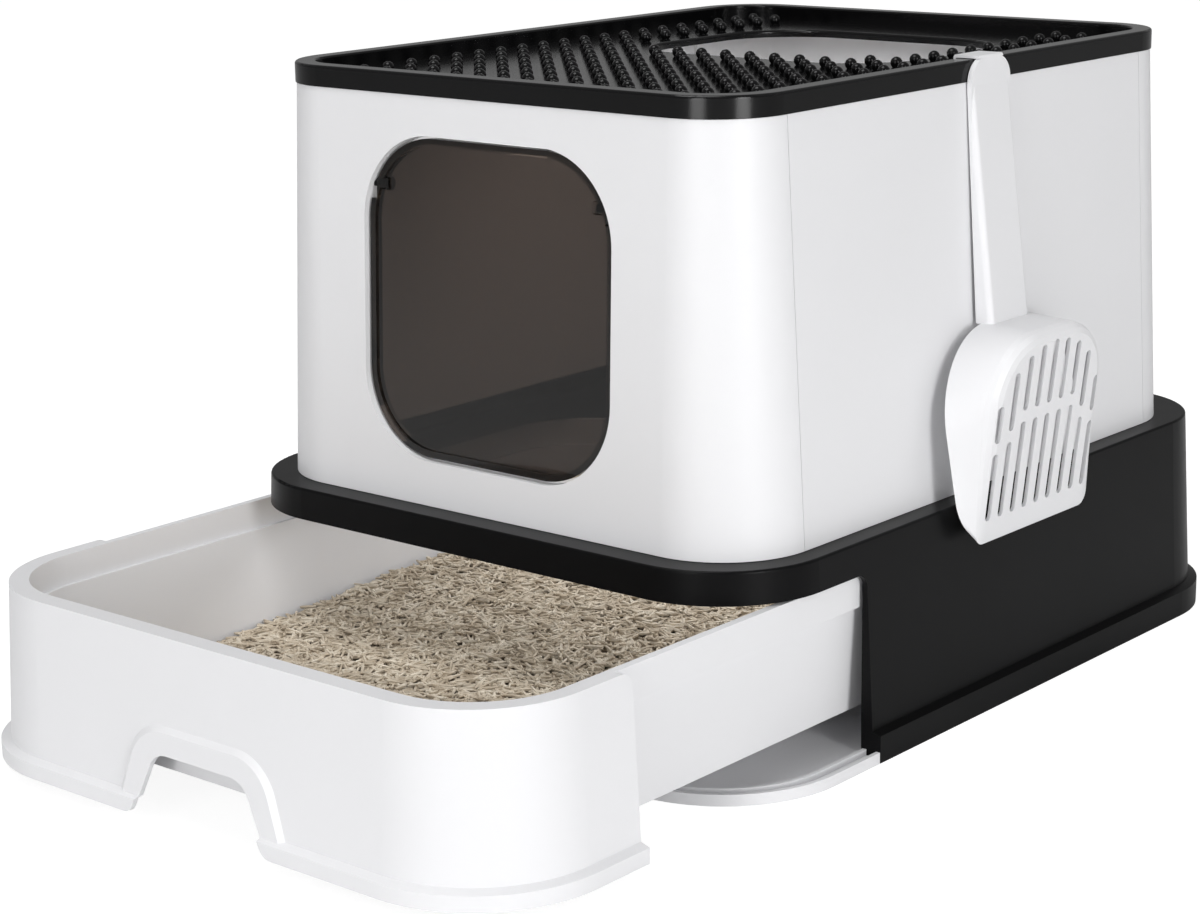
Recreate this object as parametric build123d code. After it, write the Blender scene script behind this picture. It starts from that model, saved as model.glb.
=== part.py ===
from build123d import *
import os
from math import exp

os.makedirs("parts", exist_ok=True)

# A litter box with a drawer. Millimetres, +Z up. The origin is the middle of the footprint
# of the closed box, on the floor. The front, with the door and the drawer, faces -Y, and +X
# is the right-hand side of someone who faces that front.

# ---- base frame and footprint ----
foot_width, foot_depth, foot_corner = 410.0, 530.0, 75.0
deck_height = 125.0
deck_width, deck_depth, deck_corner = 388.0, 508.5, 64.6
wall_draft = 0.0512            # outward run of a frame wall for each millimetre down
sheet = 3.0                    # wall of the frame and of the drawer's apron
hem_top, hem_taper = 17.5, 1.8 # the stepped hem along the foot of the walls
bay_front_edge = -146.5        # the side walls stop here, and the drawer's apron takes over
bay_side = 192.0               # the upright inner edge of the side walls' front ends
bay_rib = 3.5                  # the thick front end of each side wall, along Y
bay_top = 106.5
bay_corner = 8.0
deck_round = 1.5
deck_opening = (330.0, 434.0, 40.0)
flange_depth, flange_wall = 13.0, 2.5
rib_height, rib_wall, rib_gap = 8.0, 2.5, 1.0

# ---- housing: four panels that stand on the deck ----
house_offset = -5.0            # middle of the housing along Y
house_bottom = (362.5, 467.4, 54.4)
house_top = (338.5, 450.2, 41.6)
house_rim_height = 356.0
panel = 3.0
front_seam, rear_seam = -184.5, 175.0
seam_gap = 0.4
lip_height, lip_foot, lip_inset, lip_wall = 4.0, 6.0, 1.9, 2.8
stand_gap = 0.3                # between the panels and the deck
tongue_reach, tongue_foot, tongue_head, tongue_wall = 10.0, 14.0, 12.0, 2.2

# ---- door ----
door_width, door_height, door_corner = 182.0, 183.5, 50.0
door_middle = 242.5
jamb_depth, jamb_wall = 10.0, 2.6
flap_gap = 1.6
flap_sheet, flap_rim_depth, flap_rim_wall = 2.0, 6.0, 4.0
flap_recess = 3.2
flap_bead = 1.2                # the rim stands this far in front of the flap's sheet
pivot_height = 305.0
pin_diameter, pin_clearance = 5.0, 0.08
boss_diameter, boss_reach = 9.0, 9.0
pin_inner, pin_outer = 9.0, 5.5    # how far a pin goes into the flap, and into the panel
relief_below, relief_above = 9.0, 6.0

# ---- cover ----
cover_width, cover_depth, cover_corner = 340.0, 451.7, 42.3
cover_bottom, cover_top = 356.2, 368.2
cover_rim = 12.0
cover_floor = 359.0
cover_sheet = 2.2
hatch_width, hatch_corner = 194.0, 52.0
hatch_front, hatch_rear = 0.0, 161.0
hatch_lip_depth, hatch_lip_wall = 4.6, 2.6
cover_round, well_round, hatch_round = 1.6, 1.2, 1.8
channel_wall = 2.0
knob_pitch_x, knob_pitch_y = 18.15, 19.57
knob_radius, knob_neck, knob_centre = 3.5, 2.4, 2.7
knob_columns, knob_front_rows, knob_side_rows = 15, 10, 10
knob_last_front_row = -16.43

# ---- drawer ----
drawer_open = 195.0            # how far the drawer stands open
drawer_lift = 7.2              # the drawer rides this far above the floor
drawer_top = 105.0
apron_rear_edge = -150.5
apron_round = 8.0
tray_rim = (379.4, 497.2, 60.0)
tray_rim_wall, tray_rim_height = 4.7, 18.7
tray_shoulder = (371.0, 489.0, 56.0)
tray_foot = (360.6, 478.0, 51.0)
tray_bottom = 24.4
tray_wall = 3.1
runner_x, runner_width, runner_length = 125.0, 4.0, 470.0
grip_foot, grip_head, grip_top = 50.0, 33.0, 43.0
grip_head_round, grip_foot_round = 14.0, 8.0
grip_border, grip_proud = 12.0, 2.2
grip_slope = 4.0               # how far the border's edge runs out as it rises
litter_foot, litter_rise, litter_swell = 28.6, 9.5, 5.0
litter_middle, litter_half_swell = (30.0, 5.0), (110.0, 38.0)

# ---- base plate ----
plate_sheet, plate_rim_height, plate_rim_wall = 3.0, 6.5, 2.6
plate_rim_step = 9.0
plate_fit = 0.6                # gap between the plate and the frame's hem
track_width, track_front, track_rear = 12.0, -263.0, 245.0
guide_gap, guide_wall, guide_height = 1.0, 2.5, 5.0

# ---- scoop ----
scoop_middle = 2.5
scoop_wall, bowl_foot_wall = 2.2, 6.0
bowl_rim = (70.0, 26.0, 56.0)  # half width, corner radius at the foot and at the head
bowl_face = (57.0, 3.0, 38.0)
bowl_rounding = ((1.0, 0.0), (0.22, 0.0), (0.12, 0.8), (0.04, 2.8), (0.0, 6.0))   # share, inset
scoop_rim_top, scoop_rim_foot = (183.0, 221.5), (204.2, 104.0)
scoop_face_top, scoop_face_foot = (221.3, 219.0), (206.9, 102.0)
handle_width, handle_round, handle_head_round = 40.0, 3.5, 14.0
handle_foot, handle_back, handle_face = 220.5, 179.0, 190.0    # height, then X of its two faces there
handle_sheet = 3.0
hook_width, hook_sheet, hook_reach, hook_drop, hook_round = 24.0, 1.7, 12.8, 6.0, 1.6
rest_gap = 0.3                 # between the hook and the cover's rim
slot_pitch, slot_width = 12.7, 5.4
slot_rows = (                  # for each step from the middle: upper row, then lower row
    ((176.0, 213.4), (116.0, 169.6)),
    ((176.0, 212.0), (116.0, 169.6)),
    ((176.0, 208.0), (116.0, 169.6)),
    ((166.5, 200.0), (116.0, 160.0)),
    ((161.5, 183.0), (116.0, 155.3)),
)


def save(node, shape):
    """Writes one named piece."""
    shape.label = node
    export_step(shape, f"parts/{node}.step")


def plate_face(outline, z, y=0.0, grow=0.0):
    """A flat rounded rectangle. outline is width, depth and corner radius."""
    width, depth, corner = outline
    shape = RectangleRounded(width + 2 * grow, depth + 2 * grow, max(corner + grow, 0.5))
    return (Pos(0, y, z) * shape).face()


def prism(outline, z0, z1, y=0.0, grow=0.0):
    """A straight block with a rounded rectangular outline."""
    return extrude(plate_face(outline, z0, y, grow), amount=z1 - z0, dir=(0, 0, 1))


def drafted(lower, z0, upper, z1, y=0.0, grow=0.0):
    """A block whose outline changes evenly from lower to upper."""
    return loft([plate_face(lower, z0, y, grow), plate_face(upper, z1, y, grow)], ruled=True)


def slab(x0, x1, y0, y1, z0, z1):
    """A box between two corners."""
    box = Box(x1 - x0, y1 - y0, z1 - z0)
    return Pos((x0 + x1) / 2, (y0 + y1) / 2, (z0 + z1) / 2) * box


def between(outline_a, outline_b, share):
    """The outline at a share of the way from one outline to another."""
    return tuple(a + share * (b - a) for a, b in zip(outline_a, outline_b))


def y_range(shape, y0, y1):
    """What of a shape lies between two planes across Y."""
    return shape & slab(-400, 400, y0, y1, -50, 500)


def wall_outline(drop):
    """The outer outline of the frame wall, drop millimetres below the deck."""
    spread = 2 * wall_draft * drop
    return (deck_width + spread, deck_depth + spread, deck_corner + spread / 2)


def plain_walls(top, foot, grow):
    """The filled form of the walls alone."""
    return drafted(wall_outline(deck_height - foot), foot, wall_outline(deck_height - top), top, grow=grow)


def walls_with_hem(top, foot, grow):
    """The filled outer form of the walls and their hem, from foot to top."""
    outline = (foot_width, foot_depth, foot_corner)
    shoulder = hem_top - hem_taper
    hem = prism(outline, foot, shoulder, grow=grow)
    slope = drafted(outline, shoulder, wall_outline(deck_height - hem_top), hem_top, grow=grow)
    return plain_walls(top, foot, grow) + hem + slope


# ---------------------------------------------------------------- base frame
def base_frame():
    outer = walls_with_hem(deck_height, 0.0, 0.0)
    outer = fillet(outer.faces().sort_by(Axis.Z)[-1].edges(), deck_round)
    inner = walls_with_hem(deck_height, 0.0, -sheet) & slab(-400, 400, -400, 400, -1, deck_height - sheet)
    shell = outer - inner

    flange_foot = deck_height - flange_depth
    shell += prism(deck_opening, flange_foot, deck_height, house_offset, flange_wall)
    shell -= prism(deck_opening, flange_foot - 1, deck_height + 1, house_offset)

    rib_inset = -(panel + rib_gap)
    rib_top = deck_height + rib_height
    ring = prism(house_bottom, deck_height, rib_top, house_offset, rib_inset)
    ring -= prism(house_bottom, deck_height, rib_top, house_offset, rib_inset - rib_wall)

    ends = y_range(walls_with_hem(deck_height - sheet, 0.0, 0.0), bay_front_edge, bay_front_edge + bay_rib)
    shell += ends - slab(-bay_side, bay_side, -400, 400, -20, deck_height)

    bay = slab(-300, 300, -400, bay_front_edge, -20, bay_top)
    corner = bay.edges().filter_by(Axis.X).sort_by(lambda e: e.center().Y + e.center().Z)[-1]
    return (shell + ring) - fillet(corner, bay_corner)


# ---------------------------------------------------------------- base plate
def base_plate():
    outline = (foot_width, foot_depth, foot_corner)
    joint = bay_front_edge - plate_fit
    inner_grow = -(sheet + plate_fit)

    def band(z0, z1, grow_outer, grow_inner):
        return prism(outline, z0, z1, grow=grow_outer) - prism(outline, z0, z1, grow=grow_inner)

    front = prism(outline, 0, plate_sheet)
    front += band(0, plate_rim_height, 0, -plate_rim_wall)
    front += band(0, plate_rim_height, -plate_rim_step, -plate_rim_step - plate_rim_wall)
    front = y_range(front, -400, joint)

    rear = prism(outline, 0, plate_sheet, grow=inner_grow)
    rear += band(0, plate_rim_height, inner_grow, inner_grow - plate_rim_wall)
    rear = y_range(rear, joint, 400)
    notch_inner, notch_rear = bay_side - plate_fit, bay_front_edge + bay_rib + plate_fit
    for low, high in ((-300, -notch_inner), (notch_inner, 300)):
        rear -= slab(low, high, joint, notch_rear, -1, 50)

    plate = front + rear
    for side in (-1, 1):
        middle = side * runner_x
        plate += slab(middle - track_width / 2, middle + track_width / 2, track_front, track_rear,
                      0, plate_rim_height)
        guide = side * (runner_x + runner_width / 2 + guide_gap)
        low, high = sorted((guide, guide + side * guide_wall))
        plate += slab(low, high, joint, track_rear, 0, plate_rim_height + guide_height)
    return plate


# ---------------------------------------------------------------- drawer, modelled closed
def grip_outline(grow):
    """The finger cut-out's outline seen from the front, in X and Z, flowing out into the foot."""
    foot, head, top = grip_foot + grow, grip_head + grow, grip_top + grow
    wide = foot + 30.0
    points = [(-wide, 0), (wide, 0), (wide, drawer_lift), (foot, drawer_lift),
              (head, top), (-head, top), (-foot, drawer_lift), (-wide, drawer_lift)]
    face = make_face(Polyline(*points, close=True))
    face = fillet(face.vertices().filter_by(lambda v: v.Y > top - 1), grip_head_round + grow)
    return fillet(face.vertices().filter_by(lambda v: v.Y > 1 and abs(v.X) < foot + 1 and v.Y < top / 2),
                  grip_foot_round)


def grip_block(grow, y0, y1):
    """The cut-out's outline as a block from y0 to y1."""
    face = Plane.XZ * grip_outline(grow)
    return Pos(0, y1, 0) * extrude(face, amount=y1 - y0, dir=(0, -1, 0))


def grip_border_block():
    """The raised border round the cut-out, whose edge slopes down to the wall's front face."""
    wall_foot = -wall_outline(deck_height)[1] / 2
    front = Plane(origin=(0, wall_foot, 0), x_dir=(1, 0, 0), z_dir=(0, -1, wall_draft))
    edge = (front.offset(-0.5) * grip_outline(grip_border + grip_slope)).face()
    top = (front.offset(grip_proud) * grip_outline(grip_border)).face()
    return loft([edge, top], ruled=True) & slab(-200, 200, -400, 400, drawer_lift, drawer_top)


def drawer_tray():
    band_foot = drawer_top - tray_rim_height
    body = drafted(tray_foot, tray_bottom, tray_shoulder, band_foot + 0.5)
    body += prism(tray_rim, band_foot, drawer_top)
    for side in (-1, 1):
        middle = side * runner_x
        body += slab(middle - runner_width / 2, middle + runner_width / 2,
                     -runner_length / 2, runner_length / 2, drawer_lift, tray_bottom + 1.0)

    foot = drawer_lift
    outer = walls_with_hem(drawer_top, foot, 0.0)
    raised = grip_border_block()
    hollow = walls_with_hem(drawer_top, foot, -sheet) & slab(-400, 400, -400, 400, foot - 1, drawer_top - sheet)
    hollow += plain_walls(drawer_top, foot, grip_proud - sheet) & grip_block(grip_border - sheet, -400, -200)
    hollow = y_range(hollow, -400, apron_rear_edge - sheet)
    hollow -= prism(tray_rim, foot - 1, drawer_top)
    apron = y_range((outer + raised) - prism(tray_rim, foot - 1, drawer_top + 1), -400, apron_rear_edge) - hollow
    side_limit = slab(-300, 300, -400, apron_rear_edge, foot - 5, drawer_top)
    corner = side_limit.edges().filter_by(Axis.X).sort_by(lambda e: e.center().Y + e.center().Z)[-1]
    apron &= fillet(corner, apron_round)
    apron -= grip_block(0.0, -300, -tray_rim[1] / 2 - 1.0)

    tray = body + apron
    step = band_foot + 1.8
    shoulder = tuple(v - 2 * tray_wall for v in tray_shoulder[:2]) + (tray_shoulder[2] - tray_wall,)
    foot_in = tuple(v - 2 * tray_wall for v in tray_foot[:2]) + (tray_foot[2] - tray_wall,)
    tray -= prism(tray_rim, step, drawer_top + 1, grow=-tray_rim_wall)
    tray -= drafted(foot_in, tray_bottom + sheet, shoulder, step + 0.01)
    return tray


def litter_height(x, y):
    """The litter's surface: thin along the front, a gentle heap in the middle and behind."""
    slope = litter_rise / (1 + exp((litter_middle[1] - y) / litter_half_swell[1]))
    swell = litter_swell * exp(-((x - litter_middle[0]) / litter_half_swell[0]) ** 2)
    return litter_foot + slope + swell


def litter_bed():
    block = drafted(tray_foot, tray_bottom, tray_shoulder, drawer_top - tray_rim_height, grow=-tray_wall - 0.5)
    columns = [-200.0 + 50.0 * i for i in range(9)]
    rows = [-260.0 + 40.0 * j for j in range(14)]
    surface = Face.make_surface_from_array_of_points(
        [[Vector(x, y, litter_height(x, y)) for y in rows] for x in columns])
    heap = extrude(surface, amount=40, dir=(0, 0, -1))
    return heap & block & slab(-400, 400, -400, 400, tray_bottom + sheet, 100)


# ---------------------------------------------------------------- housing
def house_outline(z):
    """The housing's outer outline at a height."""
    return between(house_bottom, house_top, (z - deck_height) / (house_rim_height - deck_height))


def house_block(z0, z1, grow):
    return drafted(house_outline(z0), z0, house_outline(z1), z1, house_offset, grow)


def house_ring(z0, z1, grow_outer, grow_inner):
    """A band of the housing's wall between two depths in from its outer face."""
    return house_block(z0, z1, grow_outer) - house_block(z0 - 1, z1 + 1, grow_inner)


def panel_wall(thickness):
    """The wall and the narrow lip on top of it, which goes up inside the cover's rim."""
    wall = house_ring(deck_height + stand_gap, house_rim_height, 0.0, -thickness)
    foot, top = house_rim_height - lip_foot, house_rim_height + lip_height
    lip = prism(house_top, foot, top, house_offset, -lip_inset)
    lip -= prism(house_top, foot - 1, top + 1, house_offset, -lip_inset - lip_wall)
    return wall + lip


def front_face_y(z):
    """Where the outer face of the front panel is at a height."""
    return house_offset - house_outline(z)[1] / 2


front_tilt = (front_face_y(house_rim_height) - front_face_y(deck_height)) / (house_rim_height - deck_height)
front_plane = Plane(
    origin=(0, front_face_y(door_middle), door_middle),
    x_dir=(1, 0, 0),
    z_dir=(0, -1, front_tilt),
)


def door_block(grow, near, far):
    """The door's outline as a block, from near to far in from the face of the front panel."""
    shape = RectangleRounded(door_width + 2 * grow, door_height + 2 * grow, door_corner + grow)
    face = (front_plane * Pos(0, 0, -far) * shape).face()
    return extrude(face, amount=far - near, dir=front_plane.z_dir)


def pivot_axis():
    """The pivot's place: on the door's own plane, set back from the panel's face."""
    along = (pivot_height - door_middle) / front_plane.y_dir.Z
    return front_plane * Pos(0, along, -flap_recess - flap_rim_depth / 2)


pivot_point = pivot_axis().position
pivot_half_width = (door_width / 2 - door_corner) + (
    door_corner ** 2 - (pivot_height - door_middle - door_height / 2 + door_corner) ** 2) ** 0.5


def cross_pin(x0, x1, diameter):
    """A cylinder along the pivot's line."""
    low, high = sorted((x0, x1))
    turned = Rot(0, 90, 0) * Cylinder(diameter / 2, high - low)
    return Pos((low + high) / 2, pivot_point.Y, pivot_point.Z) * turned


def front_panel():
    wall = y_range(panel_wall(panel), -400, front_seam - seam_gap / 2)
    jamb = door_block(jamb_wall, 0.4, jamb_depth)
    wall += jamb
    for side in (-1, 1):
        wall += cross_pin(side * (pivot_half_width - 2), side * (pivot_half_width + boss_reach), boss_diameter)
    wall -= door_block(0.0, -20.0, jamb_depth + 20.0)
    for side in (-1, 1):
        reach = side * (pivot_half_width + pin_outer + 0.5)
        wall -= cross_pin(0, reach, pin_diameter + 2 * pin_clearance)
    return wall


def rear_panel():
    return y_range(panel_wall(panel), rear_seam + seam_gap / 2, 400)


def side_panel(side):
    """A flat side, with a tongue along each upright edge that laps behind its neighbour."""
    half = slab(0, 400, -400, 400, -50, 500) if side > 0 else slab(-400, 0, -400, 400, -50, 500)
    wall = y_range(panel_wall(panel + 0.2), front_seam + seam_gap / 2, rear_seam - seam_gap / 2)
    tongue_ring = house_ring(deck_height + tongue_foot, house_rim_height - tongue_head,
                             -panel - 0.19, -panel - 0.19 - tongue_wall)
    for seam in (front_seam, rear_seam):
        wall += y_range(tongue_ring, seam - tongue_reach, seam + tongue_reach)
    return wall & half


# ---------------------------------------------------------------- flap
def front_flap():
    near, far = flap_recess, flap_recess + flap_rim_depth
    sheet_block = door_block(-flap_gap, near + flap_bead, near + flap_bead + flap_sheet)
    rim = door_block(-flap_gap, near, far) - door_block(-flap_gap - flap_rim_wall, near - 1, far + 1)
    flap = sheet_block + rim
    for side in (-1, 1):
        end = pivot_half_width - flap_gap - 0.9
        boss = cross_pin(side * (end - pin_inner), side * end, flap_rim_depth + 2.0)
        flap += boss & door_block(-flap_gap, near, far + 4)
        flap -= cross_pin(side * (pivot_half_width - pin_inner), side * 200, pin_diameter)
        low, high = sorted((side * end, side * 200))
        flap -= slab(low, high, -400, 0, pivot_height - relief_below, pivot_height + relief_above)
    return flap


def flap_pin(side):
    return cross_pin(side * (pivot_half_width - pin_inner), side * (pivot_half_width + pin_outer), pin_diameter)


# ---------------------------------------------------------------- cover
def top_cover():
    outline = (cover_width, cover_depth, cover_corner)
    block = prism(outline, cover_bottom, cover_top, house_offset)
    block = fillet(block.faces().sort_by(Axis.Z)[-1].edges(), cover_round)
    well = prism(outline, cover_floor, cover_top + 1, house_offset, -cover_rim)
    rim_inner = -cover_rim + channel_wall
    channel = prism(outline, cover_bottom - 1, cover_top - cover_sheet, house_offset, -channel_wall)
    channel -= prism(outline, cover_bottom - 1, cover_top, house_offset, rim_inner)
    under = prism(outline, cover_bottom - 1, cover_floor - cover_sheet, house_offset, rim_inner)
    cover = block - well - channel - under
    rim_edge = cover.edges().filter_by(lambda e: abs(e.center().Z - cover_top) < 0.01
                                       and abs(e.center().X) < cover_width / 2 - cover_rim + 1
                                       and abs(e.center().Y - house_offset) < cover_depth / 2 - cover_rim + 1)
    cover = fillet(rim_edge, well_round)

    hatch = (hatch_width, hatch_rear - hatch_front, hatch_corner)
    middle = (hatch_front + hatch_rear) / 2
    collar_foot = cover_floor - hatch_lip_depth
    collar = prism(hatch, collar_foot, cover_floor, middle, hatch_lip_wall)
    hole = prism(hatch, collar_foot - 1, cover_floor + 1, middle)
    cover = (cover + collar) - hole
    hatch_edge = cover.edges().filter_by(lambda e: abs(e.center().Z - cover_floor) < 0.01
                                         and abs(e.center().X) < hatch_width / 2 + 1
                                         and hatch_front - 1 < e.center().Y < hatch_rear + 1)
    return fillet(hatch_edge, hatch_round)


def knob_places():
    """The square grid of grip knobs: full rows in front of the hatch, then two columns each side of it.

    The first row beside the hatch has a third knob each side, next to the hatch's rounded corner.
    """
    middle = (knob_columns - 1) / 2
    columns = [(i - middle) * knob_pitch_x for i in range(knob_columns)]
    front = [(x, knob_last_front_row - j * knob_pitch_y) for j in range(knob_front_rows) for x in columns]
    beside = columns[:2] + columns[-2:]
    rear = [(x, knob_last_front_row + (j + 1) * knob_pitch_y) for j in range(knob_side_rows) for x in beside]
    corners = [(x, knob_last_front_row + knob_pitch_y) for x in (columns[2], columns[-3])]
    return front + rear + corners


def top_knobs():
    ball = Pos(0, 0, cover_floor + knob_centre) * Sphere(knob_radius)
    neck = Pos(0, 0, cover_floor + 1.0) * Cylinder(knob_neck, 2.0)
    knob = (ball + neck) & slab(-10, 10, -10, 10, cover_floor, cover_top)
    return Compound(children=[Pos(x, y, 0) * knob for x, y in knob_places()])


# ---------------------------------------------------------------- scoop
def sloped_plane(top, foot):
    """A plane through two points of X and Z, whose own +Y runs up the slope and +Z out of it."""
    run, rise = top[0] - foot[0], top[1] - foot[1]
    return Plane(origin=(foot[0], scoop_middle, foot[1]), x_dir=(0, 1, 0), z_dir=(rise, 0, -run))


def bowl_outline(plane, low, high, half_width, low_corner, high_corner):
    """A rounded outline on a sloped plane with its own radius at each end."""
    points = [(-half_width, low), (half_width, low), (half_width, high), (-half_width, high)]
    face = make_face(Polyline(*points, close=True))
    face = fillet(face.vertices().filter_by(lambda v: v.Y < low + 1), low_corner)
    face = fillet(face.vertices().filter_by(lambda v: v.Y > high - 1), high_corner)
    return (plane * face).face()


def slope_length(top, foot):
    return ((top[0] - foot[0]) ** 2 + (top[1] - foot[1]) ** 2) ** 0.5


def bowl_section(share, inset, depth, foot_wall):
    """A cross-section of the scoop's bowl, from its face (share 0) to its open rim (share 1)."""
    top, foot = between(scoop_face_top, scoop_rim_top, share), between(scoop_face_foot, scoop_rim_foot, share)
    half, foot_round, head_round = between(bowl_face, bowl_rim, share)
    high = slope_length(top, foot) - inset
    plane = sloped_plane(top, foot).offset(-depth)
    return bowl_outline(plane, inset + foot_wall, high, half - inset, max(foot_round - inset, 1.0),
                        head_round - inset)


def scoop_bowl():
    """The bowl's filled outer form, and the hollow inside its wall."""
    outer = loft([bowl_section(share, inset, 0.0, 0.0) for share, inset in bowl_rounding], ruled=True)
    wall = scoop_wall
    inner = loft([bowl_section(share, inset + wall, wall * (1 - share), bowl_foot_wall)
                  for share, inset in bowl_rounding], ruled=True)
    mouth = extrude(bowl_section(1.0, wall, 0.0, bowl_foot_wall), amount=-6,
                    dir=sloped_plane(scoop_rim_top, scoop_rim_foot).z_dir)
    return outer, inner + mouth


def handle_grip():
    """The hollow strip from the hook down to the bowl."""
    back_top, face_top = cover_width / 2 + 0.4, cover_width / 2 + 0.4 + handle_sheet
    head = cover_top + rest_gap + hook_sheet / 2
    side = [(back_top, head), (back_top, cover_bottom - 4), (handle_back, handle_foot), (handle_face, handle_foot),
            (face_top, cover_bottom - 2), (face_top, head)]
    half = handle_width / 2
    grip = extrude(Plane.XZ * make_face(Polyline(*side, close=True)), amount=half, both=True)
    grip = fillet(grip.edges().filter_by(lambda e: e.center().X > handle_back and abs(e.center().Y) > half - 1
                                         and e.length > 50), handle_round)
    foot = handle_foot - 1
    arch = make_face(Polyline((-half, foot), (half, foot), (half, head), (-half, head), close=True))
    arch = fillet(arch.vertices().filter_by(lambda v: v.Y > head - 1), handle_head_round)
    grip &= Pos(100, 0, 0) * extrude(Plane.YZ * arch, amount=150)
    inside = [(back_top - 5, cover_bottom - 14), (handle_back - 8, handle_foot + 3),
              (handle_face - scoop_wall, handle_foot + 3), (face_top - scoop_wall + 1.2, cover_bottom - 14)]
    hollow = make_face(Polyline(*inside, close=True))
    return grip - extrude(Plane.XZ * hollow, amount=half - scoop_wall, both=True)


def handle_hook():
    """The flat hook that goes over the cover's rim."""
    back, low = cover_width / 2 + 0.4, cover_top + rest_gap
    reach = back - hook_reach - hook_sheet
    half = hook_width / 2
    bridge = slab(reach, back + handle_sheet, -half, half, low, low + hook_sheet)
    lip = slab(reach, reach + hook_sheet - 0.3, -half, half, cover_top - hook_drop, low + hook_sheet)
    hook = bridge + lip
    return fillet(hook.edges().filter_by(Axis.Y).filter_by(lambda e: e.center().Z > low + 1), hook_round)


def scoop():
    outer, inner = scoop_bowl()
    handle = Pos(0, scoop_middle, 0) * (handle_grip() + handle_hook())
    shape = (outer + handle) - inner
    for step, rows in enumerate(slot_rows):
        for side in ((-1, 1) if step else (1,)):
            y = scoop_middle + side * step * slot_pitch
            for low, high in rows:
                slot = Plane.YZ * (Rot(0, 0, 90) * SlotOverall(high - low, slot_width))
                shape -= Pos(204, y, (low + high) / 2) * extrude(slot, amount=26)
    return shape


closed_to_open = Pos(0, -drawer_open, 0)
save("base_plate", base_plate())
save("base_frame", base_frame())
save("drawer_tray", closed_to_open * drawer_tray())
save("litter_bed", closed_to_open * litter_bed())
save("front_panel", front_panel())
save("rear_panel", rear_panel())
save("left_side_panel", side_panel(-1))
save("right_side_panel", side_panel(1))
save("front_flap", front_flap())
save("left_flap_pin", flap_pin(-1))
save("right_flap_pin", flap_pin(1))
save("top_cover", top_cover())
save("top_knobs", top_knobs())
save("scoop", scoop())
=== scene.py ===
import math

import bpy
import numpy as np
from mathutils import Matrix, Vector

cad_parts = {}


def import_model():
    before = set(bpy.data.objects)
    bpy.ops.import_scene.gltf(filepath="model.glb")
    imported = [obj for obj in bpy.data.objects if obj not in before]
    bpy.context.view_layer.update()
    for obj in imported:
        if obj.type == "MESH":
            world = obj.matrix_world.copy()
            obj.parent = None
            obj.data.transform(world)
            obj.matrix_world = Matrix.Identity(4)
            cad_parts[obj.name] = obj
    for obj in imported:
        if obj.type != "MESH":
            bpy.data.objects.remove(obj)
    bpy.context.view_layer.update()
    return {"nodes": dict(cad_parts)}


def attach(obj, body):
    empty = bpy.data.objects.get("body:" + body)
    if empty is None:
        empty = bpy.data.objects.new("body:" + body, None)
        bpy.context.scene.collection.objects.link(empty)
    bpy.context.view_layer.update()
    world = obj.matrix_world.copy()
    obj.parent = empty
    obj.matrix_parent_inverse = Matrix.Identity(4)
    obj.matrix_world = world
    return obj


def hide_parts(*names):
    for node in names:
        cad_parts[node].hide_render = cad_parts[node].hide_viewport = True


# A litter box with a drawer, seen from its front right corner. Metres, +Z up; the front of the
# box faces -Y and the origin is the middle of the closed box's footprint, on the floor.

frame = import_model()
nodes = frame["nodes"]

# ---- the open drawer's tray: how far it is out, and its inside at the litter's height ----
DRAWER_OPEN = 0.195
TRAY_WALL_HALF = (0.1772, 0.2359)      # half width, half depth
TRAY_CORNER = 0.048
TRAY_FLOOR = 0.0275

# ---- the litter's surface: it rises along the drawer and swells across it ----
LITTER_FOOT, LITTER_RISE, LITTER_SWELL = 0.0286, 0.0095, 0.0050
RISE_MIDDLE, RISE_WIDTH = 0.005, 0.038
SWELL_MIDDLE, SWELL_WIDTH = 0.030, 0.110

# ---- the closed heap under the loose pellets: its grid, its gaps to the walls, how far it lies lower ----
HEAP_COLUMNS, HEAP_ROWS = 60, 80
HEAP_SIDE_GAP, HEAP_END_GAP = 0.0005, 0.0003
HEAP_DROP = 0.0022

# ---- the loose pellets: short rods with the ends pulled in ----
PELLET_LENGTH = (0.0065, 0.0110)
PELLET_RADIUS, PELLET_SPREAD = 0.00085, (0.8, 1.2)
PELLET_SIDES = 5
PELLET_RINGS = [(-0.5, 0.62), (-0.36, 1.0), (0.36, 1.0), (0.5, 0.62)]      # place along it, size
PELLET_PIECES, PELLETS_PER_PIECE = 4, 6400
PELLET_INSET = 0.0036                  # from the tray's walls
PELLET_LIFT, PELLET_SINK = 0.0032, 0.0014
PELLET_TILT = 0.16
PELLET_SEED = 410

# ---- the door's flap: middle height, half width, half height and corner radius of its outline ----
FLAP_MIDDLE, FLAP_HALF, FLAP_CORNER = 0.2425, (0.0894, 0.0901), 0.0484
FLAP_RIM = 0.0036

# ---- camera, worked out from the photograph ----
CAMERA_PLACE = (1.0008, -1.3140, 0.5333)
CAMERA_YAW, CAMERA_PITCH, CAMERA_ROLL = 40.39, 14.30, -0.91
CAMERA_LENS, CAMERA_SENSOR = 82.07, 36.0

# ---- the floor and the surroundings ----
FLOOR_HALF, FLOOR_DROP = 12.0, 0.0004
FLOOR_BOUNCE = 0.90                    # how white the floor is to the object
FLOOR_SHADOW, FLOOR_GLOW = 0.34, 0.90  # how the floor shows to the camera: its shade and its own white
WORLD_LIGHT = 0.30

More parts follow.
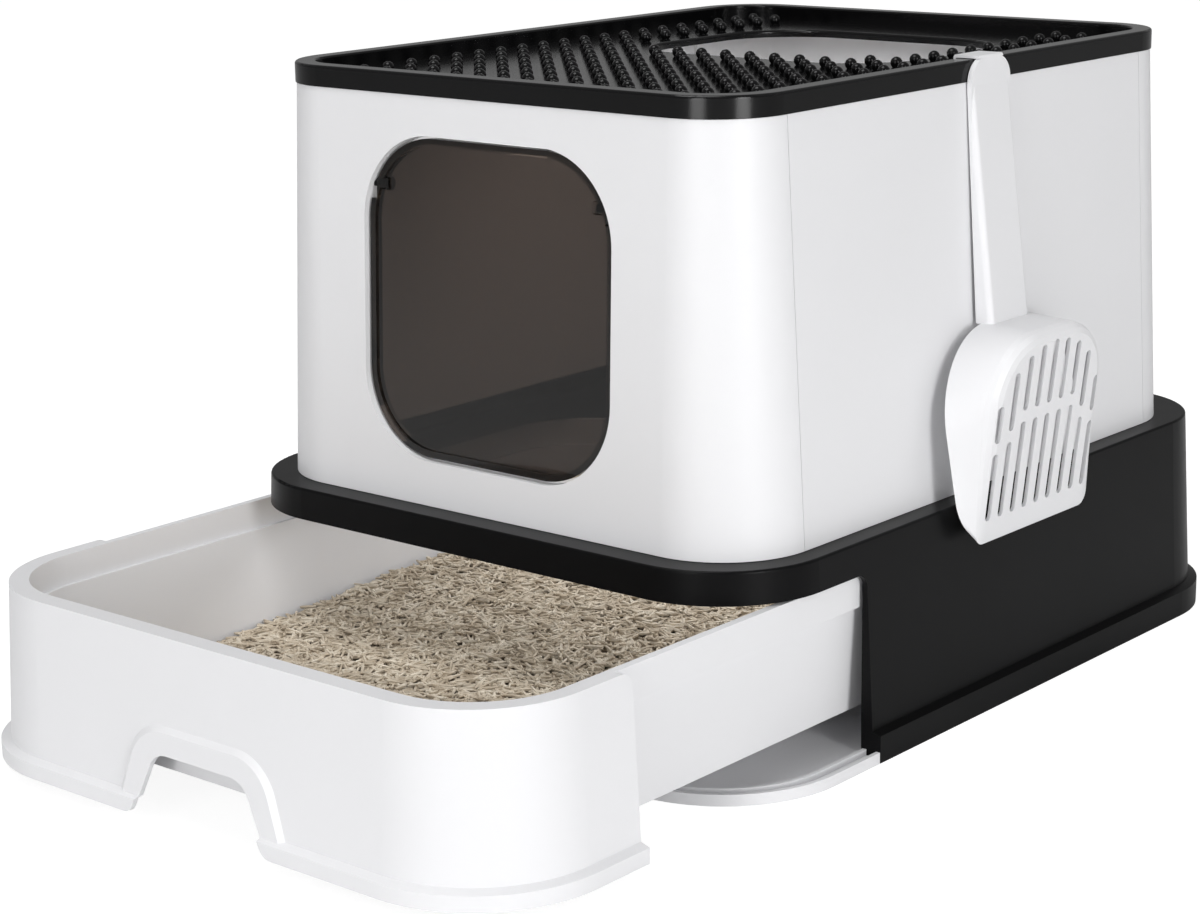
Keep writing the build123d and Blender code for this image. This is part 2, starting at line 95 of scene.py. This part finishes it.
# ---- lamps: name, place, what it points at, width, height, power ----
MIDDLE, CORNER = (0.05, -0.15, 0.20), (0.13, -0.19, 0.20)
LAMPS = [
    ("front", (0.75, -4.14, 1.35), MIDDLE, 0.9, 2.6, 28),
    ("side", (3.95, -1.36, 1.35), MIDDLE, 0.9, 2.6, 54),
    ("front_strip", (0.46, -2.26, 0.26), CORNER, 0.75, 0.5, 6),
    ("side_strip", (2.14, -0.80, 0.26), CORNER, 0.75, 0.5, 7),
    ("overhead", (-0.20, -0.70, 2.50), (0.0, -0.35, 0.1), 1.4, 1.4, 26),
    ("inside", (0.0, 0.02, 0.344), (0.0, 0.02, 0.0), 0.22, 0.22, 0.90),
]

# ---- colours ----
WHITE = (0.80, 0.80, 0.815)
BLACK = (0.0035, 0.0035, 0.0038)
SMOKE = (0.050, 0.038, 0.031)
WHITE_NODES = [
    "base_plate",
    "drawer_tray",
    "front_panel",
    "rear_panel",
    "left_side_panel",
    "right_side_panel",
    "scoop",
]


# ---------------------------------------------------------------- materials
class Shader:
    """A node material with a Principled shader, and small helpers to add to it."""

    def __init__(self, name, colour, roughness):
        self.material = bpy.data.materials.new(name)
        self.material.use_nodes = True
        self.tree = self.material.node_tree
        self.shader = self.tree.nodes["Principled BSDF"]
        self.set("Base Color", (*colour, 1.0))
        self.set("Roughness", roughness)
        self.coords = self.tree.nodes.new("ShaderNodeTexCoord").outputs["Object"]

    def set(self, socket, value):
        self.shader.inputs[socket].default_value = value

    def link(self, output, target):
        self.tree.links.new(output, target)

    def noise(self, scale, detail=3.0):
        node = self.tree.nodes.new("ShaderNodeTexNoise")
        node.inputs["Scale"].default_value = scale
        node.inputs["Detail"].default_value = detail
        self.link(self.coords, node.inputs["Vector"])
        return node.outputs["Fac"]

    def ramp(self, factor, stops):
        node = self.tree.nodes.new("ShaderNodeValToRGB")
        elements = node.color_ramp.elements
        while len(elements) < len(stops):
            elements.new(0.5)
        for element, (place, colour) in zip(elements, stops):
            element.position = place
            element.color = (*colour, 1.0)
        self.link(factor, node.inputs["Fac"])
        return node.outputs["Color"]

    def span(self, factor, low, high):
        node = self.tree.nodes.new("ShaderNodeMapRange")
        node.inputs["To Min"].default_value = low
        node.inputs["To Max"].default_value = high
        self.link(factor, node.inputs["Value"])
        return node.outputs["Result"]

    def math(self, operation, first, second=0.0):
        """One sum of two values, each a number or an output."""
        node = self.tree.nodes.new("ShaderNodeMath")
        node.operation = operation
        for socket, value in zip(node.inputs, (first, second)):
            if isinstance(value, (int, float)):
                socket.default_value = value
            else:
                self.link(value, socket)
        return node.outputs["Value"]

    def bump(self, height, distance, strength=1.0):
        node = self.tree.nodes.new("ShaderNodeBump")
        node.inputs["Distance"].default_value = distance
        node.inputs["Strength"].default_value = strength
        self.link(height, node.inputs["Height"])
        self.link(node.outputs["Normal"], self.shader.inputs["Normal"])


def scaled(colour, factor):
    return tuple(min(1.0, c * factor) for c in colour)


def moulded_plastic(name, colour, roughness, tone=0.02, grain=0.00002):
    """Moulded plastic: an even colour with a faint drift of tone and gloss, and a very fine grain."""
    made = Shader(name, colour, roughness)
    drift = made.noise(9.0)
    stops = [(0.3, scaled(colour, 1 - tone)), (0.7, scaled(colour, 1 + tone))]
    made.link(made.ramp(drift, stops), made.shader.inputs["Base Color"])
    gloss = made.noise(35.0)
    made.link(made.span(gloss, roughness - 0.03, roughness + 0.03), made.shader.inputs["Roughness"])
    made.bump(made.noise(1800.0, detail=1.0), grain)
    return made


def white_plastic(name):
    made = moulded_plastic(name, WHITE, 0.42, tone=0.006)
    made.set("Specular IOR Level", 0.35)
    return made.material


def black_plastic(name, roughness=0.32, shine=0.10):
    made = moulded_plastic(name, BLACK, roughness, tone=0.15)
    made.set("Specular IOR Level", shine)
    return made.material


def flap_inward(made):
    """How far a place in the flap lies inside its outline, a rounded rectangle in X and Z."""
    axes = made.tree.nodes.new("ShaderNodeSeparateXYZ")
    made.link(made.coords, axes.inputs["Vector"])
    beyond = []
    for axis, middle, half in (("X", 0.0, FLAP_HALF[0]), ("Z", FLAP_MIDDLE, FLAP_HALF[1])):
        offset = made.math("ABSOLUTE", made.math("SUBTRACT", axes.outputs[axis], middle))
        beyond.append(made.math("SUBTRACT", offset, half - FLAP_CORNER))
    squares = [made.math("POWER", made.math("MAXIMUM", value, 0.0), 2.0) for value in beyond]
    corner = made.math("SQRT", made.math("ADD", *squares))
    straight = made.math("MINIMUM", made.math("MAXIMUM", *beyond), 0.0)
    return made.math("SUBTRACT", FLAP_CORNER, made.math("ADD", corner, straight))


def smoked_sheet(name):
    """Clear plastic with a brown smoke in it. Along its outline the tint is darker: partly the thick rim's
    denser smoke, partly painted shade for the rim seen edge-on.
    """
    made = Shader(name, SMOKE, 0.03)
    made.set("Transmission Weight", 1.0)
    made.set("IOR", 1.45)
    made.set("Specular IOR Level", 0.18)
    inward = flap_inward(made)
    cloud = made.math("MULTIPLY", made.noise(6.0), 0.0006)
    place = made.math("DIVIDE", made.math("ADD", inward, cloud), 2 * FLAP_RIM)
    # painted shade along the outline: the tint falls to a fifth across the rim, for its thickness and its
    # dark edge-on look
    stops = [(0.45, scaled(SMOKE, 0.2)), (0.60, scaled(SMOKE, 0.97)), (1.0, SMOKE)]
    made.link(made.ramp(place, stops), made.shader.inputs["Base Color"])
    return made.material


def pellet_material(name):
    """Pale beige pellets, each patch a little lighter or browner than the next."""
    made = Shader(name, (0.60, 0.52, 0.41), 0.85)
    patch = made.noise(120.0, detail=1.0)
    stops = [
        (0.30, (0.50, 0.42, 0.32)),
        (0.50, (0.62, 0.54, 0.43)),
        (0.70, (0.74, 0.67, 0.56)),
    ]
    made.link(made.ramp(patch, stops), made.shader.inputs["Base Color"])
    made.bump(made.noise(1500.0, detail=2.0), 0.0002)
    made.set("Specular IOR Level", 0.2)
    return made.material


def bed_material(name):
    """What shows between the top pellets: the same pellets in their own shade."""
    made = Shader(name, (0.16, 0.12, 0.08), 0.95)
    stops = [(0.35, (0.07, 0.050, 0.033)), (0.65, (0.20, 0.155, 0.11))]
    made.link(made.ramp(made.noise(420.0, detail=2.0), stops), made.shader.inputs["Base Color"])
    made.bump(made.noise(420.0, detail=2.0), 0.0012)
    made.set("Specular IOR Level", 0.1)
    return made.material


def dress(names, material):
    """Gives CAD nodes one material."""
    for name in names:
        mesh = nodes[name].data
        mesh.materials.clear()
        mesh.materials.append(material)


def add_mesh(name, points, faces, material):
    """A new piece of the scene, from its points and faces."""
    mesh = bpy.data.meshes.new(name)
    mesh.from_pydata(points, [], faces)
    mesh.materials.append(material)
    piece = bpy.data.objects.new(name, mesh)
    bpy.context.scene.collection.objects.link(piece)
    return piece


# ---------------------------------------------------------------- litter
def litter_height(x, y):
    """The surface of the litter in the open drawer: thin along the front, a gentle heap in the middle."""
    slope = LITTER_RISE / (1 + np.exp((RISE_MIDDLE - (y + DRAWER_OPEN)) / RISE_WIDTH))
    swell = LITTER_SWELL * np.exp(-((x - SWELL_MIDDLE) / SWELL_WIDTH) ** 2)
    return LITTER_FOOT + slope + swell


def tray_half_depth(x, inset):
    """Half of the tray's inner depth at x, which shrinks in the rounded corners."""
    half_x, half_y = TRAY_WALL_HALF[0] - inset, TRAY_WALL_HALF[1] - inset
    radius = TRAY_CORNER - inset
    over = np.clip(np.abs(x) - (half_x - radius), 0.0, radius)
    return half_y - radius + np.sqrt(np.maximum(radius ** 2 - over ** 2, 0.0))


def heap_faces(columns, rows):
    """Quads over a grid of top points, the same grid of bottom points, and the edge between them."""
    count = columns * rows
    faces = []
    for i in range(columns - 1):
        for j in range(rows - 1):
            a, b, c, d = i * rows + j, (i + 1) * rows + j, (i + 1) * rows + j + 1, i * rows + j + 1
            faces.append((a, b, c, d))
            faces.append((a + count, d + count, c + count, b + count))
    edge = [(i * rows, (i + 1) * rows) for i in range(columns - 1)]
    edge += [((columns - 1) * rows + j, (columns - 1) * rows + j + 1) for j in range(rows - 1)]
    edge += [((i + 1) * rows + rows - 1, i * rows + rows - 1) for i in range(columns - 1)]
    edge += [(j + 1, j) for j in range(rows - 1)]
    return faces + [(a, a + count, b + count, b) for a, b in edge]


def litter_heap(material):
    """The closed heap below the loose pellets."""
    half = TRAY_WALL_HALF[0] - HEAP_SIDE_GAP
    top, bottom = [], []
    for x in np.linspace(-half, half, HEAP_COLUMNS):
        reach = tray_half_depth(x, HEAP_END_GAP)
        for y in np.linspace(-reach, reach, HEAP_ROWS) - DRAWER_OPEN:
            top.append((x, y, litter_height(x, y) - HEAP_DROP))
            bottom.append((x, y, TRAY_FLOOR))
    heap = add_mesh("litter_heap", top + bottom, heap_faces(HEAP_COLUMNS, HEAP_ROWS), material)
    heap.data.shade_smooth()
    return heap


def pellet_shape():
    """A unit pellet along X: a short rod with ends pulled in. Length 1, radius 1."""
    points = []
    for along, size in PELLET_RINGS:
        for k in range(PELLET_SIDES):
            angle = 2 * math.pi * k / PELLET_SIDES
            points.append((along, size * math.cos(angle), size * math.sin(angle)))
    faces = []
    for ring in range(len(PELLET_RINGS) - 1):
        for k in range(PELLET_SIDES):
            a = ring * PELLET_SIDES + k
            b = ring * PELLET_SIDES + (k + 1) % PELLET_SIDES
            faces.append((a, a + PELLET_SIDES, b + PELLET_SIDES, b))
    faces.append(tuple(range(PELLET_SIDES)))
    last = (len(PELLET_RINGS) - 1) * PELLET_SIDES
    faces.append(tuple(last + k for k in reversed(range(PELLET_SIDES))))
    return np.array(points), faces


def pellet_piece(index, material):
    """A quarter of the loose pellets, as one mesh: a strip of the drawer from front to back."""
    draw = np.random.default_rng(PELLET_SEED + index)
    shape, shape_faces = pellet_shape()
    half = TRAY_WALL_HALF[0] - PELLET_INSET
    x0 = -half + 2 * half * index / PELLET_PIECES
    x = x0 + draw.random(PELLETS_PER_PIECE) * 2 * half / PELLET_PIECES
    reach = tray_half_depth(x, PELLET_INSET)
    y = (draw.random(PELLETS_PER_PIECE) * 2 - 1) * reach - DRAWER_OPEN
    lift = draw.random(PELLETS_PER_PIECE) * PELLET_LIFT - PELLET_SINK
    z = litter_height(x, y) + lift
    length = draw.uniform(*PELLET_LENGTH, PELLETS_PER_PIECE)
    radius = PELLET_RADIUS * draw.uniform(*PELLET_SPREAD, PELLETS_PER_PIECE)
    yaw = draw.uniform(0, 2 * math.pi, PELLETS_PER_PIECE)
    tilt = draw.normal(0, PELLET_TILT, PELLETS_PER_PIECE)
    along = np.stack([np.cos(yaw) * np.cos(tilt), np.sin(yaw) * np.cos(tilt), np.sin(tilt)], axis=1)
    across = np.stack([-np.sin(yaw), np.cos(yaw), np.zeros_like(yaw)], axis=1)
    upward = np.cross(along, across)
    points = (
        np.stack([x, y, z], axis=1)[:, None, :]
        + along[:, None, :] * (shape[None, :, 0:1] * length[:, None, None])
        + across[:, None, :] * (shape[None, :, 1:2] * radius[:, None, None])
        + upward[:, None, :] * (shape[None, :, 2:3] * radius[:, None, None])
    ).reshape(-1, 3)
    starts = np.arange(PELLETS_PER_PIECE) * len(shape)
    faces = [tuple(int(s) + v for v in face) for s in starts for face in shape_faces]
    return add_mesh(f"litter_pellets_{index + 1}", points.tolist(), faces, material)


def litter():
    """The litter in the drawer: a heap in the bed's place, and the loose pellets on it."""
    pellets = pellet_material("beige_pellets")
    heap = litter_heap(bed_material("shaded_pellets"))
    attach(heap, "drawer")
    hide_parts("litter_bed")
    for index in range(PELLET_PIECES):
        piece = pellet_piece(index, pellets)
        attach(piece, "drawer")


# ---------------------------------------------------------------- floor, light, camera
def floor_material():
    """White to the camera, with the object's shadow in it, and a white matt floor to the object."""
    material = bpy.data.materials.new("studio_floor")
    material.use_nodes = True
    tree = material.node_tree
    tree.nodes.clear()
    path = tree.nodes.new("ShaderNodeLightPath")
    shade = tree.nodes.new("ShaderNodeMapRange")
    shade.inputs["To Min"].default_value = FLOOR_BOUNCE
    shade.inputs["To Max"].default_value = FLOOR_SHADOW
    tree.links.new(path.outputs["Is Camera Ray"], shade.inputs["Value"])
    matte = tree.nodes.new("ShaderNodeBsdfDiffuse")
    tree.links.new(shade.outputs["Result"], matte.inputs["Color"])
    glow = tree.nodes.new("ShaderNodeEmission")
    lift = tree.nodes.new("ShaderNodeMath")
    lift.operation = "MULTIPLY"
    lift.inputs[1].default_value = FLOOR_GLOW
    tree.links.new(path.outputs["Is Camera Ray"], lift.inputs[0])
    tree.links.new(lift.outputs["Value"], glow.inputs["Strength"])
    both = tree.nodes.new("ShaderNodeAddShader")
    tree.links.new(matte.outputs["BSDF"], both.inputs[0])
    tree.links.new(glow.outputs["Emission"], both.inputs[1])
    output = tree.nodes.new("ShaderNodeOutputMaterial")
    tree.links.new(both.outputs["Shader"], output.inputs["Surface"])
    return material


def floor():
    """A plain white floor, just below the object."""
    half = FLOOR_HALF
    corners = [(-half, -half, 0), (half, -half, 0), (half, half, 0), (-half, half, 0)]
    ground = add_mesh("studio_floor", corners, [(0, 1, 2, 3)], floor_material())
    ground.location.z = -FLOOR_DROP


def world():
    """Even pale surroundings, white where the camera looks straight at them."""
    made = bpy.data.worlds.new("studio_world")
    made.use_nodes = True
    bpy.context.scene.world = made
    tree = made.node_tree
    background = tree.nodes["Background"]
    background.inputs["Color"].default_value = (1, 1, 1, 1)
    path = tree.nodes.new("ShaderNodeLightPath")
    strength = tree.nodes.new("ShaderNodeMapRange")
    strength.inputs["To Min"].default_value = WORLD_LIGHT
    strength.inputs["To Max"].default_value = 1.0
    tree.links.new(path.outputs["Is Camera Ray"], strength.inputs["Value"])
    tree.links.new(strength.outputs["Result"], background.inputs["Strength"])


def softbox(name, place, target, width, height, power):
    """A rectangular lamp at place that points at target."""
    lamp = bpy.data.lights.new(name, "AREA")
    lamp.shape = "RECTANGLE"
    lamp.size, lamp.size_y = width, height
    lamp.energy = power
    made = bpy.data.objects.new(name, lamp)
    bpy.context.scene.collection.objects.link(made)
    made.location = place
    made.rotation_mode = "QUATERNION"
    made.rotation_quaternion = (Vector(target) - Vector(place)).to_track_quat("-Z", "Y")


def lights():
    """Tall softboxes either side of the camera, low strips for the black rim's highlights, one lamp
    overhead, and the glow that the thin walls let in."""
    for lamp in LAMPS:
        softbox(*lamp)


def camera():
    """The photograph's camera, from its place and its turn."""
    yaw, pitch, roll = (math.radians(v) for v in (CAMERA_YAW, CAMERA_PITCH, CAMERA_ROLL))
    back = Vector((math.sin(yaw) * math.cos(pitch), -math.cos(yaw) * math.cos(pitch), math.sin(pitch)))
    right = (-back).cross(Vector((0, 0, 1))).normalized()
    up = right.cross(-back)
    rolled_right = right * math.cos(roll) + up * math.sin(roll)
    rolled_up = up * math.cos(roll) - right * math.sin(roll)
    data = bpy.data.cameras.new("photo_camera")
    data.sensor_width = CAMERA_SENSOR
    data.lens = CAMERA_LENS
    data.clip_start, data.clip_end = 0.05, 100.0
    made = bpy.data.objects.new("photo_camera", data)
    bpy.context.scene.collection.objects.link(made)
    turn = Matrix((rolled_right, rolled_up, back)).transposed()
    made.matrix_world = Matrix.Translation(CAMERA_PLACE) @ turn.to_4x4()
    bpy.context.scene.camera = made


# ---------------------------------------------------------------- the scene
dress(WHITE_NODES, white_plastic("white_plastic"))
dress(["base_frame"], black_plastic("black_plastic"))
dress(["top_cover", "top_knobs"], black_plastic("black_cover_plastic", 0.16, 0.26))
dress(["left_flap_pin", "right_flap_pin"], black_plastic("black_pin_plastic", 0.4))
dress(["front_flap"], smoked_sheet("smoked_plastic"))
litter()
floor()
world()
lights()
camera()
bpy.context.scene.view_settings.view_transform = "Standard"
